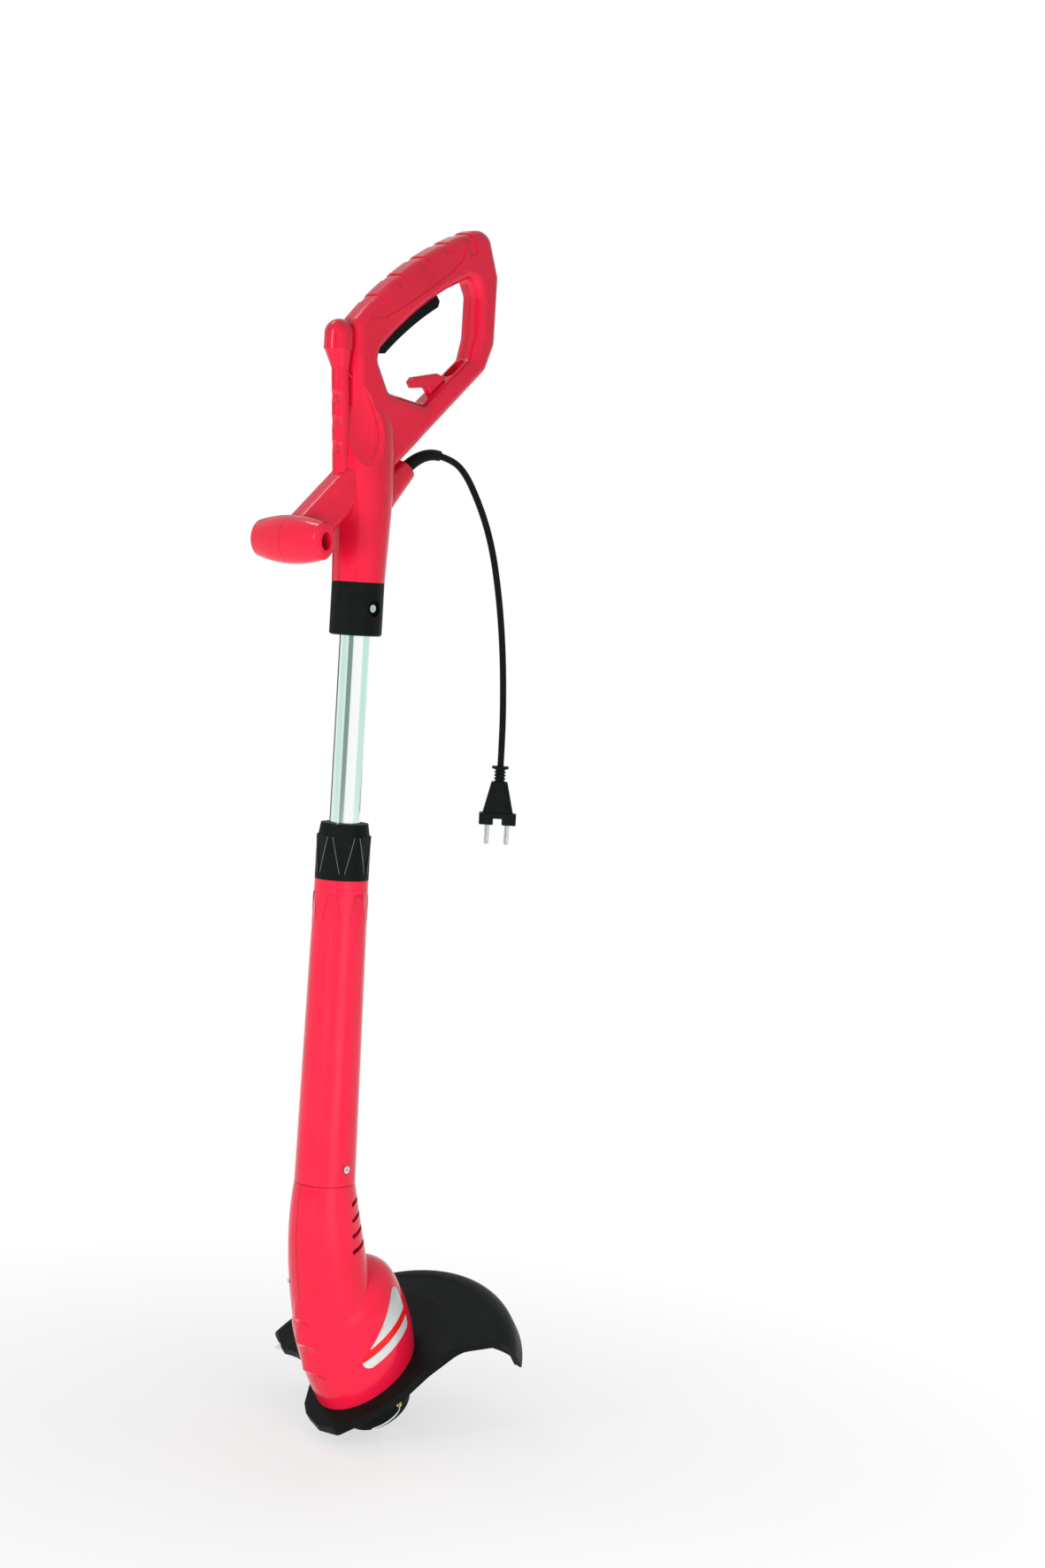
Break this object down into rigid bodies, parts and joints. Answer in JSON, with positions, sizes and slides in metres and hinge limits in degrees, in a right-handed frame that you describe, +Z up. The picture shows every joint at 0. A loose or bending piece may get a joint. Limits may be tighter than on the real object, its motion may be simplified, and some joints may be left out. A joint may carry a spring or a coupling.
{
  "type": "string trimmer",
  "caption": "Corded electric string trimmer: D-grip handle with trigger and barrel front handle, telescopic tube with twist lock, angled motor head, guard and bump-feed spool.",
  "frame": {"origin": "on the shaft's axis, halfway along the bare stretch of the aluminium tube", "axes": "+Z up along the shaft to the handle, -Y to the front where the guard is open, +X to the machine's left"},
  "size_m": [0.2709, 0.3092, 1.1183],
  "materials": {
    "red_plastic": "satin moulded plastic",
    "black_plastic": "fine textured plastic",
    "black_rubber": "soft matt",
    "aluminium_tube": "drawn and polished",
    "steel": "zinc plated",
    "motor_iron": "stacked sheets",
    "copper_wire": "lacquered copper wire",
    "carbon": "sooty",
    "label_foil": "silver foil with one red stripe",
    "brass": "turned",
    "nylon_line": "extruded"
  },
  "bodies": {
    "handle": {"handle_shell_left": "red_plastic", "handle_shell_right": "red_plastic", "handle_screws": "steel", "cord_hook": "red_plastic", "trigger_pin": "steel", "trigger_spring": "steel", "switch_body": "black_plastic", "suppression_capacitor": "black_plastic", "bend_protector": "black_rubber", "power_cord": "black_rubber", "plug_body": "black_plastic", "plug_pins": "steel", "upper_collar": "black_plastic", "collar_screw": "steel", "upper_tube": "aluminium_tube", "tube_end_bush": "black_plastic", "coiled_lead": "black_rubber"},
    "trigger": {"trigger": "black_plastic"},
    "plunger": {"switch_plunger": "black_plastic"},
    "lower": {"collet": "black_plastic", "lower_tube": "red_plastic", "lower_tube_screw": "steel", "motor_housing_left": "red_plastic", "motor_housing_right": "red_plastic", "motor_housing_screws": "steel", "label_plate": "label_foil", "motor_plate": "black_plastic", "lower_bearing": "steel", "upper_bearing": "steel", "stator_core": "motor_iron", "field_windings": "copper_wire", "carbon_brushes": "carbon", "brush_holders": "black_plastic", "guard": "black_plastic", "guard_screws": "steel", "line_cutter_blade": "steel", "blade_screws": "steel"},
    "lock": {"lock_collar": "black_plastic"},
    "rotor": {"motor_shaft": "steel", "armature_core": "motor_iron", "armature_windings": "copper_wire", "commutator": "copper_wire", "cooling_fan": "black_plastic", "spool_housing": "black_plastic", "line_eyelet": "brass", "spool_cover": "black_plastic", "spool_spring": "steel", "cutting_line": "nylon_line"},
    "bump": {"spool": "black_plastic", "spool_line": "nylon_line", "bump_knob": "black_plastic"}
  },
  "joints": [
    {"name": "trigger_pivot", "type": "hinge", "parent": "handle", "child": "trigger", "pos_m": [0, 0.00073, 0.35595], "axis": [1, 0, 0], "range_deg": [0, 5], "stiffness_Nm_per_rad": 3, "springref_deg": -5.73, "deforming": ["trigger_spring"]},
    {"name": "switch_press", "type": "slide", "parent": "handle", "child": "plunger", "axis": [0, -0.6656, 0.7463], "range_m": [0, 0.0036]},
    {"name": "telescope", "type": "slide", "parent": "handle", "child": "lower", "axis": [0, 0, 1], "range_m": [-0.05, 0.14], "deforming": ["coiled_lead"]},
    {"name": "lock_twist", "type": "hinge", "parent": "lower", "child": "lock", "pos_m": [0, 0, -0.11], "axis": [0, 0, 1], "range_deg": [0, 90]},
    {"name": "rotor_spin", "type": "hinge", "parent": "lower", "child": "rotor", "pos_m": [0, 0.058, -0.603], "axis": [0, -0.5736, 0.8192], "continuous": true},
    {"name": "bump_feed", "type": "slide", "parent": "rotor", "child": "bump", "axis": [0, -0.5736, 0.8192], "range_m": [0, 0.005], "stiffness_N_per_m": 2000, "springref_m": -0.005, "deforming": ["spool_spring"]}
  ],
  "couplings": [
    {"joint": "switch_press", "follows": "trigger_pivot", "m_per_rad": 0.041}
  ]
}
